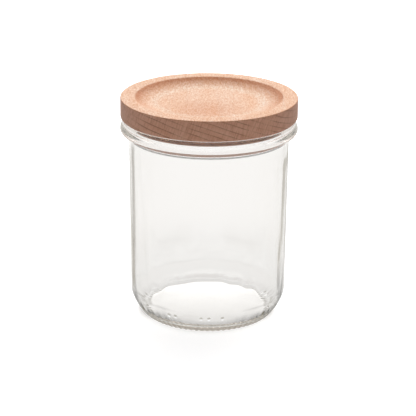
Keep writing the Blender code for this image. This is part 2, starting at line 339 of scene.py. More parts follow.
def mould_dots(height, angle):
    """The domes of the mould dots and what each gathers as a small lens, both as grids.

    A dome is 1 - d * d, with d in dot radii from its middle. Its painted light, up to 1, lies in its lower
    half, and its painted shade, down to -1, in its upper half: its dome times how far below the middle a point
    is.
    """
    dome, gleam = np.zeros_like(height), np.zeros_like(height)
    for degrees, middle in DOTS:
        turn = np.radians((np.degrees(angle) - degrees + 180) % 360 - 180)
        sideways = turn * FOOT_RADIUS_MM / DOT_RADIUS_MM
        upwards = (height - middle) / DOT_RADIUS_MM
        bulge = np.clip(1 - sideways ** 2 - upwards ** 2, 0, 1)
        dome += bulge
        gleam -= bulge * upwards / DOT_GLEAM_PEAK
    return dome, gleam


def build_jar():
    """The glass body: its profile turned round the axis, with waves, mould dots and a notched bearing ring.

    The inner heel's waves fade as exp(-h * h), with h the height from their middle in reaches. The notches rise
    as half of 1 - cos(NOTCH_COUNT * angle) and fade as exp(-s ** 4), with s the distance from their middle in
    reaches.
    """
    profile = jar_profile()
    radius, height, angle = turned(profile, JAR_COLUMNS)
    angle -= FRONT_CROWDING * np.sin(angle)
    rows = np.arange(len(profile))
    first_inside = int(np.argmax(profile[:, 1] >= JAR_HEIGHT_MM))
    outside = (rows < first_inside)[:, None]
    inside = ~outside
    above_heel = np.clip((height - HEEL_HEIGHT_MM) / WAVES_RISE_MM, 0, 1)
    wall = above_heel * np.clip((WAVES_TOP_MM - height) / WAVES_FALL_MM, 0, 1)
    radius += outside * wall * waves(angle, height, OUTSIDE_WAVES)
    radius += inside * wall * waves(angle, height, INSIDE_WAVES)
    near_floor = np.exp(-((height - FLOOR_HEIGHT_MM - FLOOR_WAVES_LIFT_MM) / FLOOR_WAVES_REACH_MM) ** 2)
    near_heel = near_floor * np.clip((radius - FLOOR_WAVES_INNER_MM) / FLOOR_WAVES_RISE_MM, 0, 1)
    calm = (1 + FLOOR_WAVES_FRONT_SHARE) / 2 - (1 - FLOOR_WAVES_FRONT_SHARE) / 2 * np.cos(angle)
    radius += inside * near_heel * calm * waves(angle, height, FLOOR_WAVES)
    at_ring = np.exp(-((radius - BEARING_RADIUS_MM - NOTCH_REACH_MM / 2) / NOTCH_REACH_MM) ** 4)
    notch = 0.5 - 0.5 * np.cos(angle * NOTCH_COUNT)
    height += (outside & (height < HEEL_HEIGHT_MM)) * at_ring * notch * NOTCH_DEPTH_MM
    dome, gleam = mould_dots(height, angle)
    radius += outside * DOT_HEIGHT_MM * dome
    return surface("jar_glass", radius, height, angle, marks=("mould_dot", outside * gleam))


# Beech lid and silicone seal

def lid_profile():
    """(radius, height) from the middle of the plug's underside, out, up the lid and in to the dish."""
    groove_bottom = SEAL_LOW[2] - FIT_GAP_MM
    groove_top = SEAL_HIGH[2] + FIT_GAP_MM
    groove_radius = PLUG_RADIUS_MM - GROOVE_DEPTH_MM
    dish_floor = LID_TOP_MM - DISH_DEPTH_MM
    return np.concatenate([
        straight((0, PLUG_BOTTOM_MM), (PLUG_RADIUS_MM - PLUG_EDGE_MM, PLUG_BOTTOM_MM), 10),
        bend((PLUG_RADIUS_MM - PLUG_EDGE_MM, PLUG_BOTTOM_MM), (PLUG_RADIUS_MM, PLUG_BOTTOM_MM),
             (PLUG_RADIUS_MM, PLUG_BOTTOM_MM + PLUG_EDGE_MM), 5),
        straight((PLUG_RADIUS_MM, PLUG_BOTTOM_MM + PLUG_EDGE_MM), (PLUG_RADIUS_MM, groove_bottom), 2),
        straight((PLUG_RADIUS_MM, groove_bottom), (groove_radius, groove_bottom), 3),
        straight((groove_radius, groove_bottom), (groove_radius, groove_top), 4),
        straight((groove_radius, groove_top), (PLUG_RADIUS_MM, groove_top), 3),
        straight((PLUG_RADIUS_MM, groove_top), (PLUG_RADIUS_MM, LID_UNDERSIDE_MM), 4),
        straight((PLUG_RADIUS_MM, LID_UNDERSIDE_MM), (LID_RADIUS_MM - LID_LOWER_EDGE_MM, LID_UNDERSIDE_MM), 5),
        bend((LID_RADIUS_MM - LID_LOWER_EDGE_MM, LID_UNDERSIDE_MM), (LID_RADIUS_MM, LID_UNDERSIDE_MM),
             (LID_RADIUS_MM, LID_UNDERSIDE_MM + LID_LOWER_EDGE_MM), 6),
        straight((LID_RADIUS_MM, LID_UNDERSIDE_MM + LID_LOWER_EDGE_MM),
                 (LID_RADIUS_MM, LID_TOP_MM - LID_TOP_EDGE_MM), 12),
        bend((LID_RADIUS_MM, LID_TOP_MM - LID_TOP_EDGE_MM), (LID_RADIUS_MM, LID_TOP_MM),
             (LID_RADIUS_MM - LID_TOP_EDGE_MM, LID_TOP_MM), 5),
        straight((LID_RADIUS_MM - LID_TOP_EDGE_MM, LID_TOP_MM), (DISH_RADIUS_MM, LID_TOP_MM), 6),
        cove((DISH_RADIUS_MM, LID_TOP_MM), (DISH_RADIUS_MM - COVE_WIDTH_MM, dish_floor), 24),
        straight((DISH_RADIUS_MM - COVE_WIDTH_MM, dish_floor), (0, dish_floor), 12),
        [(0, dish_floor)],
    ])


def build_lid():
    """The turned beech lid, plug and groove in one piece."""
    lid = surface("lid_beech", *turned(lid_profile(), LID_COLUMNS))
    lid.data.set_sharp_from_angle(angle=SHARP_ANGLE)
    return lid


def build_seal():
    """The silicone ring: a flat band with two tapered fins, as a closed section turned round the axis."""
    bottom, top = SEAL_LOW[2], SEAL_HIGH[2]
    middle = (bottom + top) / 2
    inner = PLUG_RADIUS_MM - GROOVE_DEPTH_MM + FIT_GAP_MM
    corners = [(inner, bottom), (PLUG_RADIUS_MM, bottom)]
    for fin in (middle - FIN_SPACING_MM / 2, middle + FIN_SPACING_MM / 2):
        corners += [(PLUG_RADIUS_MM, fin - FIN_HEIGHT_MM / 2), (SEAL_RADIUS_MM, fin - FIN_TIP_HEIGHT_MM / 2)]
        corners += [(SEAL_RADIUS_MM, fin + FIN_TIP_HEIGHT_MM / 2), (PLUG_RADIUS_MM, fin + FIN_HEIGHT_MM / 2)]
    corners += [(PLUG_RADIUS_MM, top), (inner, top)]
    edges = zip(corners, corners[1:] + corners[:1])
    section = np.concatenate([straight(start, end, SEAL_ROWS) for start, end in edges])
    seal = surface("seal_silicone", *turned(section, SEAL_COLUMNS), ring=True)
    seal.data.set_sharp_from_angle(angle=SHARP_ANGLE)
    return seal


# Glass

WHITE = (1, 1, 1, 1)
GLASS_COLOUR = "#956c00"     # what is left of light deep in the glass: blue goes first, so it turns warm grey
GLASS_ABSORPTION = 9.0       # a metre: one wall takes a fortieth of the light, and the thick heel more
SHADOW_COLOUR = "#f2f2f0"    # what the glass lets through to the table and the wood

NECK_LINE_MM = 0.75          # half the width of the dull grey line drawn round the foot of the fillet
NECK_LINE_STRENGTH = 0.62
NECK_LINE_COLOUR = "#8d867e"

# What the mould dots gather as small lenses is painted on as a glow: light below, shade above
DOT_PAINTED_STRENGTH = 0.85
DOT_PAINTED_SHADE = "#b9b5ab"        # the painted shade in the upper half of a mould dot
DOT_GLEAM = (0.1, 0.6)       # how much a dot has to gather to show, and to show fully

# Painted dark lines, standing in for the shade that refraction shows where the wall turns from the eye and its
# two sides part. Each starts, is full, stays so and ends where 1 less the cosine of that turn has these values,
# and then come its strengths at -X, where the wall shows thick, and at +X.
PAINTED_WALL_LINES = (
    (0.64, 0.70, 0.74, 0.81, 0.50, 0.10),
    (0.78, 0.83, 0.92, 0.97, 0.00, 0.35),
)
PAINTED_WALL_LINE_COLOUR = "#7c766a"
WALL_LINE_CHANGE = 0.02      # the strengths change over this distance to each side of the middle
WALL_LINE_ENDS = ((0.022, 0.050), (0.116, 0.112))    # heights between which they grow from nothing to full

# A ray that met more surfaces than GUIDED_DEPTH runs along inside the wall, and shows the mean of all that it
# would meet as a painted glow: a grey for each height, brown where the plug fills the mouth's inner side, and
# painted shade low on either side of the heel, where the glass gathers the dark sides.
GUIDED_DEPTH = 4
GUIDED_PAINTED_COLOURS = (
    (0.004, "#f1f6f6"), (0.020, "#bdbab0"), (0.030, "#c6c3ba"), (0.112, "#c4c1b8"), (0.1175, "#b9b4aa"),
    (0.1195, "#fbfaf8"),
)
PLUG_PAINTED_COLOUR = "#d6ae90"
PLUG_SIDE = (0.051, 0.048)   # radii between which the brown grows
PLUG_GLOW = (0.1215, 0.1235)         # and heights
HEEL_PAINTED_SHADE_COLOUR = "#78725f"
HEEL_SIDE = (0.020, 0.034)   # distances aside between which the darker grey grows
HEEL_SIDE_TOP = (0.014, 0.006)       # and heights
STREAK_MM = (4.55, 4.55, 0.667)      # size of the painted light and dark streaks in the thick bottom: long and low
STREAK_LEVELS = (0.85, 1.55)         # brightness of the dark ones and the light ones
STREAK_NOISE = (0.40, 0.60)  # the span of the noise in which they change
STREAK_TOP = (0.007, 0.005)  # heights between which they grow


def with_neck_line(tree, shader, place):
    """Mixes in a dull line round the foot of the neck's fillet, strongest in its middle."""
    _, _, height = add_node(tree, "SeparateXYZ", {0: place}).outputs
    off_line = add_node(tree, "Math", {0: height, 1: (NECK_MM - NECK_FILLET_MM) * MM}, operation="SUBTRACT")
    off_line = add_node(tree, "Math", {0: off_line}, operation="ABSOLUTE")
    on_line = add_node(tree, "MapRange", {
        0: off_line, 1: NECK_LINE_MM * MM, 2: 0.0, 3: 0.0, 4: NECK_LINE_STRENGTH,
    })
    dull = add_node(tree, "BsdfDiffuse", {"Color": linear(NECK_LINE_COLOUR)})
    return add_node(tree, "MixShader", {0: on_line, 1: shader, 2: dull})


def with_painted_dot_light(tree, shader, seen):
    """Mixes in painted light and shade for what the mould dots gather as small lenses: grey in their upper
    halves, white in their lower.
    """
    gleam = add_node(tree, "Attribute", attribute_name="mould_dot").outputs["Fac"]
    strength = add_node(tree, "Math", {0: gleam}, operation="ABSOLUTE")
    strength = add_node(tree, "MapRange", {0: strength, 1: DOT_GLEAM[0], 2: DOT_GLEAM[1], 3: 0.0, 4: seen})
    strength = add_node(tree, "Math", {0: strength, 1: DOT_PAINTED_STRENGTH}, operation="MULTIPLY")
    half = add_node(tree, "MapRange", {0: gleam, 1: -DOT_GLEAM[0], 2: DOT_GLEAM[0]})
    tone = add_node(tree, "Mix", {0: half, 6: linear(DOT_PAINTED_SHADE), 7: WHITE}, data_type="RGBA")
    light = add_node(tree, "Emission", {"Color": tone, "Strength": 1.0})
    return add_node(tree, "MixShader", {0: strength, 1: shader, 2: light})


def with_painted_wall_lines(tree, shader, place, seen):
    """Mixes in the painted dark lines that the table above lists, each by how far the wall turns from the eye.
    """
    x, _, height = add_node(tree, "SeparateXYZ", {0: place}).outputs
    turned_away = add_node(tree, "LayerWeight", {"Blend": 0.5}).outputs["Facing"]
    lines = 0.0
    for start, full, still, end, thick, thin in PAINTED_WALL_LINES:
        line = add_node(tree, "MapRange", {0: x, 1: -WALL_LINE_CHANGE, 2: WALL_LINE_CHANGE, 3: thick, 4: thin})
        line = add_node(tree, "MapRange", {0: turned_away, 1: start, 2: full, 3: 0.0, 4: line})
        line = add_node(tree, "MapRange", {0: turned_away, 1: end, 2: still, 3: 0.0, 4: line})
        lines = add_node(tree, "Math", {0: lines, 1: line}, operation="MAXIMUM")
    for start, full in WALL_LINE_ENDS:
        lines = add_node(tree, "MapRange", {0: height, 1: start, 2: full, 3: 0.0, 4: lines})
    lines = add_node(tree, "Math", {0: lines, 1: seen}, operation="MULTIPLY")
    dark = add_node(tree, "Emission", {"Color": linear(PAINTED_WALL_LINE_COLOUR), "Strength": 1.0})
    return add_node(tree, "MixShader", {0: lines, 1: shader, 2: dark})


def painted_guided_light(tree, place):
    """The light that runs along inside the wall, painted as a glow: colours by height, brown beside the plug,
    dark at the sides of the heel and streaked in the bottom.
    """
    x, _, height = add_node(tree, "SeparateXYZ", {0: place}).outputs
    tone = linear(GUIDED_PAINTED_COLOURS[0][1])
    for (low, _), (high, colour) in zip(GUIDED_PAINTED_COLOURS, GUIDED_PAINTED_COLOURS[1:]):
        share = add_node(tree, "MapRange", {0: height, 1: low, 2: high})
        tone = add_node(tree, "Mix", {0: share, 6: tone, 7: linear(colour)}, data_type="RGBA")
    radius = add_node(tree, "VectorMath", {0: place, 1: (1, 1, 0)}, operation="MULTIPLY")
    radius = add_node(tree, "VectorMath", {0: radius}, operation="LENGTH")
    brown = add_node(tree, "MapRange", {0: radius, 1: PLUG_SIDE[0], 2: PLUG_SIDE[1]})
    brown = add_node(tree, "MapRange", {0: height, 1: PLUG_GLOW[0], 2: PLUG_GLOW[1], 3: 0.0, 4: brown})
    tone = add_node(tree, "Mix", {0: brown, 6: tone, 7: linear(PLUG_PAINTED_COLOUR)}, data_type="RGBA")
    aside = add_node(tree, "Math", {0: x}, operation="ABSOLUTE")
    dark = add_node(tree, "MapRange", {0: aside, 1: HEEL_SIDE[0], 2: HEEL_SIDE[1]})
    dark = add_node(tree, "MapRange", {0: height, 1: HEEL_SIDE_TOP[0], 2: HEEL_SIDE_TOP[1], 3: 0.0, 4: dark})
    tone = add_node(tree, "Mix", {0: dark, 6: tone, 7: linear(HEEL_PAINTED_SHADE_COLOUR)}, data_type="RGBA")
    streak_size = [size * MM for size in STREAK_MM]
    streaks = add_node(tree, "VectorMath", {0: place, 1: streak_size}, operation="DIVIDE")
    streaks = add_node(tree, "TexNoise", {"Vector": streaks, "Scale": 1.0, "Detail": 1.0})
    streaks = add_node(tree, "MapRange", {
        0: streaks, 1: STREAK_NOISE[0], 2: STREAK_NOISE[1], 3: STREAK_LEVELS[0], 4: STREAK_LEVELS[1],
    })
    bottom = add_node(tree, "MapRange", {0: height, 1: STREAK_TOP[0], 2: STREAK_TOP[1]})
    level = add_node(tree, "Mix", {0: bottom, 2: 1.0, 3: streaks})
    return add_node(tree, "Emission", {"Color": tone, "Strength": level})


def soda_lime_glass():
    """Pressed soda-lime glass, fire-polished: clear, mirror-smooth, and warm grey where light goes far in it.

    Over the clear glass lie the dull line at the neck, the painted light and shade of the mould dots and the
    painted dark lines of the walls, and deep rays show a painted glow for the light that runs along inside.
    Light for the table and the wood passes straight through.
    """
    material, tree = new_material("pressed_soda_lime_glass")
    path = add_node(tree, "LightPath").outputs
    place = add_node(tree, "TexCoord").outputs["Object"]
    shader = add_node(tree, "BsdfPrincipled", {
        "Base Color": WHITE, "Roughness": 0.0, "IOR": 1.52, "Transmission Weight": 1.0,
    })
    shader = with_neck_line(tree, shader, place)
    shader = with_painted_dot_light(tree, shader, path["Is Camera Ray"])
    shader = with_painted_wall_lines(tree, shader, place, path["Is Camera Ray"])
    lights = add_node(tree, "Math", {0: path["Is Shadow Ray"], 1: path["Is Diffuse Ray"]}, operation="MAXIMUM")
    lets_through = add_node(tree, "BsdfTransparent", {"Color": linear(SHADOW_COLOUR)})
    shader = add_node(tree, "MixShader", {0: lights, 1: shader, 2: lets_through})
    deep = add_node(tree, "Math", {0: path["Ray Depth"], 1: GUIDED_DEPTH}, operation="GREATER_THAN")
    shader = add_node(tree, "MixShader", {0: deep, 1: shader, 2: painted_guided_light(tree, place)})
    tint = add_node(tree, "VolumeAbsorption", {"Color": linear(GLASS_COLOUR), "Density": GLASS_ABSORPTION})
    add_node(tree, "OutputMaterial", {"Surface": shader, "Volume": tint})
    return material


# Silicone

SILICONE_CLOUD_MM = 16.7     # size of the faint clouds in the silicone


def clear_silicone():
    """Moulded food-grade silicone: clear with a faint uneven haze, soft and satin."""
    material, tree = new_material("moulded_silicone")
    place = add_node(tree, "TexCoord").outputs["Object"]
    cloud = add_node(tree, "TexNoise", {"Vector": place, "Scale": 1 / (SILICONE_CLOUD_MM * MM), "Detail": 3.0})
    tone = add_node(tree, "Mix", {0: cloud, 6: linear("#f4f2ec"), 7: linear("#fbfaf6")}, data_type="RGBA")
    shader = add_node(tree, "BsdfPrincipled", {
        "Base Color": tone, "Roughness": 0.2, "IOR": 1.41, "Transmission Weight": 0.9,
    })
    add_node(tree, "OutputMaterial", {"Surface": shader})
    return material


# Beech

RING_SPACING_MM = 3.3        # one year's growth, from one dark line to the next
RING_WANDER = 1.3            # years that a line strays by
RING_RISE = (0.60, 0.92)     # the shares of a year between which its line darkens,
RING_RISE_POWER = 3.0        # by this power, so slowly at first,
RING_FALL = (1.0, 0.93)      # and between which it ends
GROWTH_TILT = math.radians(19)       # the layers fall towards +X
GROWTH_RADIUS_MM = 300       # the layers bend this much round the heart of the tree
# Each figure is a noise: the size of its grains in millimetres along tangent, fibre and growth, its detail, its
# roughness and the span of it that shows. The rays are drawn at about twice their real width, so that they
# show, and a pore here stands for a cluster of them.
FIGURES = {
    "wander": ((45, 90, 12), 2, 0.5, (0.0, 1.0)),
    "gaps in the lines": ((9, 60, 30), 3, 0.5, (0.3, 0.6)),
    "rays": ((0.45, 2.6, 7), 2, 0.6, (0.45, 0.75)),
    "pores": ((0.85, 2.55, 0.85), 2, 0.8, (0.37, 0.65)),
    "broad tone": ((14, 60, 5), 3, 0.5, (0.3, 0.7)),
}
RAY_STRENGTHS = (0.15, 0.45)         # on the top, and what the side adds
LINE_STRENGTHS = (0.05, 0.20, 0.15, 0.40)    # on the top, and what a slope, the side and its end grain add
RELIEF = (0.6, -0.6)         # shares of the bump that the pores and the year lines have
PORE_DEPTH_MM = 0.1
PORE_ROUGHNESS = (0.5, 0.62)
PORE_COLOUR = "#e4c4a9"      # what a pore leaves of the colour round it
HIGHLIGHT_RING_MM = 33.5          # radius of a paler ring at the cove's foot: a painted highlight
HIGHLIGHT_RING_WIDTH_MM = 5.0     # to each side of its middle
BROWN_PATCH_MM = (-2, -17, 137)      # middle of a browner patch on the dish's floor
BROWN_PATCH_FADE_MM = (26, 6)        # distances between which it grows
# Parts of the surface's direction, up or along the fibres, between which each of these grows
SLOPE_UP = (0.99, 0.89)
SIDE_UP = (0.75, 0.25)
# slopes take painted shade as they turn from facing the back, where the lamp is
PAINTED_SHADE_ALONG = (0.35, 0.0)
END_GRAIN_ALONG = (0.30, 0.85)
PLUG_FADE_MM = 0.1           # the plug counts as side from the lid's underside down, with an edge this soft


def turned_beech():
    """Steamed beech, turned and sanded, unvarnished: even pinkish tan, with a thin dark line for each year and
    many short ray flecks. Its side is darker and redder than its top, and its lines show best on end grain.
    """
    material, tree = new_material("turned_steamed_beech")
    texture = add_node(tree, "TexCoord").outputs
    place = add_node(tree, "VectorMath", {0: texture["Object"], "Scale": 1 / MM}, operation="SCALE")
    x, y, z = add_node(tree, "SeparateXYZ", {0: place}).outputs

    # The wood's own axes: tangent, fibre (which is Y) and outward growth, with the layers bent
    growing = (math.sin(GROWTH_TILT), 0, math.cos(GROWTH_TILT))
    sideways = (math.cos(GROWTH_TILT), 0, -math.sin(GROWTH_TILT))
    outward = add_node(tree, "VectorMath", {0: place, 1: growing}, operation="DOT_PRODUCT")
    tangent = add_node(tree, "VectorMath", {0: place, 1: sideways}, operation="DOT_PRODUCT")
    bend_share = 1 / (2 * GROWTH_RADIUS_MM)
    squared = add_node(tree, "Math", {0: x, 1: x}, operation="MULTIPLY")
    outward = add_node(tree, "Math", {0: squared, 1: bend_share, 2: outward}, operation="MULTIPLY_ADD")
    grown = add_node(tree, "CombineXYZ", {0: tangent, 1: y, 2: outward})
    noise, figure = {}, {}
    for name, (grain_mm, detail, roughness, span) in FIGURES.items():
        scaled = add_node(tree, "VectorMath", {0: grown, 1: grain_mm}, operation="DIVIDE")
        noise[name] = add_node(tree, "TexNoise", {
            "Vector": scaled, "Scale": 1.0, "Detail": detail, "Roughness": roughness,
        })
        figure[name] = add_node(tree, "MapRange", {0: noise[name], 1: span[0], 2: span[1]})

    # One thin dark line a year
    stray = add_node(tree, "Math", {0: figure["wander"], 1: 0.5}, operation="SUBTRACT")
    stray = add_node(tree, "Math", {0: stray, 1: RING_WANDER}, operation="MULTIPLY")
    years = add_node(tree, "Math", {0: outward, 1: 1 / RING_SPACING_MM, 2: stray}, operation="MULTIPLY_ADD")
    season = add_node(tree, "Math", {0: years}, operation="FRACT")
    line = add_node(tree, "MapRange", {0: season, 1: RING_RISE[0], 2: RING_RISE[1]})
    line = add_node(tree, "Math", {0: line, 1: RING_RISE_POWER}, operation="POWER")
    line = add_node(tree, "MapRange", {0: season, 1: RING_FALL[0], 2: RING_FALL[1], 3: 0.0, 4: line})
    line = add_node(tree, "Math", {0: figure["gaps in the lines"], 1: line}, operation="MULTIPLY")

    # Marks with a place of their own on the lid's top
    radius = add_node(tree, "VectorMath", {0: place, 1: (1, 1, 0)}, operation="MULTIPLY")
    radius = add_node(tree, "VectorMath", {0: radius}, operation="LENGTH")
    # A ring of painted highlight at the cove's foot
    off_ring = add_node(tree, "Math", {0: radius, 1: HIGHLIGHT_RING_MM}, operation="SUBTRACT")
    off_ring = add_node(tree, "Math", {0: off_ring}, operation="ABSOLUTE")
    painted_highlight_ring = add_node(tree, "MapRange", {0: off_ring, 1: HIGHLIGHT_RING_WIDTH_MM, 2: 0.0})
    off_patch = add_node(tree, "VectorMath", {0: place, 1: BROWN_PATCH_MM}, operation="DISTANCE")
    brown_patch = add_node(tree, "MapRange", {
        0: off_patch, 1: BROWN_PATCH_FADE_MM[0], 2: BROWN_PATCH_FADE_MM[1],
    })

    # Which way the surface faces: slopes that don't face the back, and so turn from the lamp, get a painted
    # browner shade, and the side shows end grain in front and at the back, where it faces along them
    _, facing_y, facing_z = add_node(tree, "SeparateXYZ", {0: texture["Normal"]}).outputs
    facing_up = add_node(tree, "Math", {0: facing_z}, operation="ABSOLUTE")
    facing_fibre = add_node(tree, "Math", {0: facing_y}, operation="ABSOLUTE")
    turned_from_lamp = add_node(tree, "MapRange", {0: facing_y, 1: PAINTED_SHADE_ALONG[0], 2: PAINTED_SHADE_ALONG[1]})
    shaded_slope = add_node(tree, "MapRange", {0: facing_up, 1: SLOPE_UP[0], 2: SLOPE_UP[1], 3: 0.0, 4: turned_from_lamp})
    end_grain = add_node(tree, "MapRange", {0: facing_fibre, 1: END_GRAIN_ALONG[0], 2: END_GRAIN_ALONG[1]})
    plug = add_node(tree, "MapRange", {0: z, 1: LID_UNDERSIDE_MM + PLUG_FADE_MM, 2: LID_UNDERSIDE_MM})
    side = add_node(tree, "MapRange", {0: facing_up, 1: SIDE_UP[0], 2: SIDE_UP[1]})
    side = add_node(tree, "Math", {0: side, 1: plug}, operation="MAXIMUM")

    # The top's colours, laid over each other: where, how strongly, and which. The slopes' brown is painted
    # shade.
    top = linear("#f8d5bb")
    for where, strength, hex_colour in (
        (figure["broad tone"], 1.0, "#fde4d2"),
        (brown_patch, 0.45, "#dca280"),
        (shaded_slope, 0.9, "#ca906c"),
        # the pale ring is a painted highlight
        (painted_highlight_ring, 0.6, "#fff2e6"),
    ):
        share = add_node(tree, "Math", {0: where, 1: strength}, operation="MULTIPLY")
        top = add_node(tree, "Mix", {0: share, 6: top, 7: linear(hex_colour)}, data_type="RGBA")
    in_pores = add_node(tree, "Mix", {0: 1.0, 6: top, 7: linear(PORE_COLOUR)}, data_type="RGBA",
                        blend_type="MULTIPLY")
    top = add_node(tree, "Mix", {0: figure["pores"], 6: in_pores, 7: top}, data_type="RGBA")
    edge = add_node(tree, "Mix", {
        0: figure["broad tone"], 6: linear("#dca283"), 7: linear("#e8b295"),
    }, data_type="RGBA")
    edge = add_node(tree, "Mix", {0: end_grain, 6: linear("#c9957a"), 7: edge}, data_type="RGBA")
    colour = add_node(tree, "Mix", {0: side, 6: top, 7: edge}, data_type="RGBA")

    # Rays and year lines, which show more on the side
    ray, ray_on_side = RAY_STRENGTHS
    fleck = add_node(tree, "Math", {0: side, 1: ray_on_side, 2: ray}, operation="MULTIPLY_ADD")
    fleck = add_node(tree, "Math", {0: figure["rays"], 1: fleck}, operation="MULTIPLY")
    colour = add_node(tree, "Mix", {0: fleck, 6: colour, 7: linear("#a0674a")}, data_type="RGBA")
    on_top, on_slope, on_side, on_end_grain = LINE_STRENGTHS
    side_mark = add_node(tree, "Math", {0: end_grain, 1: on_end_grain, 2: on_side}, operation="MULTIPLY_ADD")
    top_mark = add_node(tree, "Math", {0: shaded_slope, 1: on_slope, 2: on_top}, operation="MULTIPLY_ADD")
    mark = add_node(tree, "Math", {0: side, 1: side_mark, 2: top_mark}, operation="MULTIPLY_ADD")
    mark = add_node(tree, "Math", {0: line, 1: mark}, operation="MULTIPLY")
    colour = add_node(tree, "Mix", {0: mark, 6: colour, 7: linear("#7d4a36")}, data_type="RGBA")

    pore_relief, line_relief = RELIEF
    height = add_node(tree, "Math", {0: line, 1: line_relief}, operation="MULTIPLY")
    height = add_node(tree, "Math", {0: noise["pores"], 1: pore_relief, 2: height}, operation="MULTIPLY_ADD")
    bump = add_node(tree, "Bump", {"Strength": 0.35, "Distance": PORE_DEPTH_MM * MM, "Height": height})
    roughness = add_node(tree, "MapRange", {0: noise["pores"], 3: PORE_ROUGHNESS[0], 4: PORE_ROUGHNESS[1]})
    shader = add_node(tree, "BsdfPrincipled", {
        "Base Color": colour, "Roughness": roughness, "Normal": bump, "Specular IOR Level": 0.35,
    })
    add_node(tree, "OutputMaterial", {"Surface": shader})
    return material


# Studio

CAMERA_DISTANCE = 1.2
CAMERA_ELEVATION = math.radians(19.23)
CAMERA_ROLL = math.radians(0.471)
CAMERA_LENS_MM = 164.73
CAMERA_SENSOR_MM = 36
CAMERA_REACH = (0.01, 200)   # the nearest and furthest that it sees
CAMERA_TARGET = Vector((-0.0002, 0, 0.0678))


def build_camera():
    """The photograph's view: a long lens, a little above the jar."""
    data = bpy.data.cameras.new("camera")
    data.lens = CAMERA_LENS_MM
    data.sensor_width = CAMERA_SENSOR_MM
    data.clip_start, data.clip_end = CAMERA_REACH
    camera = bpy.data.objects.new("camera", data)
    bpy.context.scene.collection.objects.link(camera)
    back = Vector((0, -math.cos(CAMERA_ELEVATION), math.sin(CAMERA_ELEVATION)))
    camera.location = CAMERA_TARGET + back * CAMERA_DISTANCE
    aim = Euler((math.pi / 2 - CAMERA_ELEVATION, 0, 0)).to_matrix()
    roll = Euler((0, 0, CAMERA_ROLL)).to_matrix()
    camera.rotation_euler = (aim @ roll).to_euler()
    bpy.context.scene.camera = camera


# The table, as the camera sees it
FLOOR_RADIUS = 30.0
FLOOR_SIDES = 64
TABLE_PAINT = "#e6e7eb"
GLOW_NEAR = 0.67             # its glow near the jar, where the shadow has to show, against 1 further off
GLOW_FADE = (0.055, 0.16)    # distances between which that changes
CONTACT_MIDDLE = (-0.0007, 0, 0)     # the painted contact shade where glass and table meet
CONTACT_FADE = (0.0446, 0.0398)      # distances from its middle between which it grows
CONTACT_LEVELS = (0.1, 0.75)         # how much it takes in front and behind
CONTACT_DEPTH_FADE = (-0.022, 0.0)   # values of Y between which that changes

# The table, as it looks through the glass, painted as a glow: white, with a grey strip of painted shade on each
# side of the jar
TABLE_WHITE = "#fffefc"
STRIP_INNER_EDGE = 0.048     # from the middle to the strip beside the jar
STRIP_OUTER_EDGE = 0.060
STRIP_INNER_SPREAD = 0.42    # how much further out each edge lies for each metre behind the jar
STRIP_OUTER_SPREAD = 0.58
STRIP_EDGE_FADE = (-0.004, 0.008)    # where the shade of an edge starts and ends, measured from the edge
STRIP_CURL = 0.7             # the strip runs in towards the base in front of its middle,
STRIP_FLARE_START = 0.06     # and out again from this distance in front
STRIP_FLARE = 3.0
STRIP_LEVEL = 0.38           # how bright it is beside the jar
STRIP_BACK_FADE = (0.02, 0.08)       # values of Y between which it ends behind the jar
STRIP_FRONT_FADE = (-0.070, -0.045)  # and between which it starts in front
# Under the base the glass gathers light from behind, painted as a brighter glow, which weakens between these
# values of Y towards the front
UNDER_LEVELS = (0.74, 1.30)
UNDER_FADE = (-0.034, 0.028)
UNDER_RADIUS = 0.0365        # and reaches out to here
# The front of the base's edge, in painted shade, keeps these levels of it, in the middle and to the sides
UNDER_RIM_LEVELS = (0.72, 0.60)
UNDER_RIM_ASIDE_FADE = (0.010, 0.028)
UNDER_RIM_INNER_FADE = (0.026, 0.034)
UNDER_RIM_OUTER_FADE = (0.060, 0.045)
UNDER_RIM_FRONT_FADE = (-0.006, -0.014)
# Then come the painted shade where the base stands and the open table: distance, level
TABLE_LEVELS = ((0.0385, 0.72), (0.046, 0.75), (0.065, 0.88), (0.200, 1.00))


def painted_side_strips(tree, place):
    """Level of the table with its two strips of painted shade: 1, less what a strip takes between its two soft
    edges.
    """
    x, y, _ = add_node(tree, "SeparateXYZ", {0: place}).outputs
    aside = add_node(tree, "Math", {0: x}, operation="ABSOLUTE")
    behind = add_node(tree, "Math", {0: y, 1: 0.0}, operation="MAXIMUM")
    ahead = add_node(tree, "Math", {0: y, 1: 0.0}, operation="MINIMUM")
    flare = add_node(tree, "Math", {0: y, 1: STRIP_FLARE_START}, operation="ADD")
    flare = add_node(tree, "Math", {0: flare, 1: 0.0}, operation="MINIMUM")
    aside = add_node(tree, "Math", {0: flare, 1: STRIP_FLARE, 2: aside}, operation="MULTIPLY_ADD")
    aside = add_node(tree, "Math", {0: ahead, 1: -STRIP_CURL, 2: aside}, operation="MULTIPLY_ADD")
    dark = add_node(tree, "MapRange", {
        0: y, 1: STRIP_BACK_FADE[0], 2: STRIP_BACK_FADE[1], 3: 1 - STRIP_LEVEL, 4: 0.0,
    })
    dark = add_node(tree, "MapRange", {0: y, 1: STRIP_FRONT_FADE[0], 2: STRIP_FRONT_FADE[1], 3: 0.0, 4: dark})
    level = 1.0
    for edge, spread, sign in (
        (STRIP_INNER_EDGE, STRIP_INNER_SPREAD, -1), (STRIP_OUTER_EDGE, STRIP_OUTER_SPREAD, 1),
    ):
        past = add_node(tree, "Math", {0: behind, 1: -spread, 2: aside}, operation="MULTIPLY_ADD")
        share = add_node(tree, "MapRange", {
            0: past, 1: edge + STRIP_EDGE_FADE[0], 2: edge + STRIP_EDGE_FADE[1], 4: sign,
        }, interpolation_type="SMOOTHSTEP")
        level = add_node(tree, "Math", {0: share, 1: dark, 2: level}, operation="MULTIPLY_ADD")
    return level


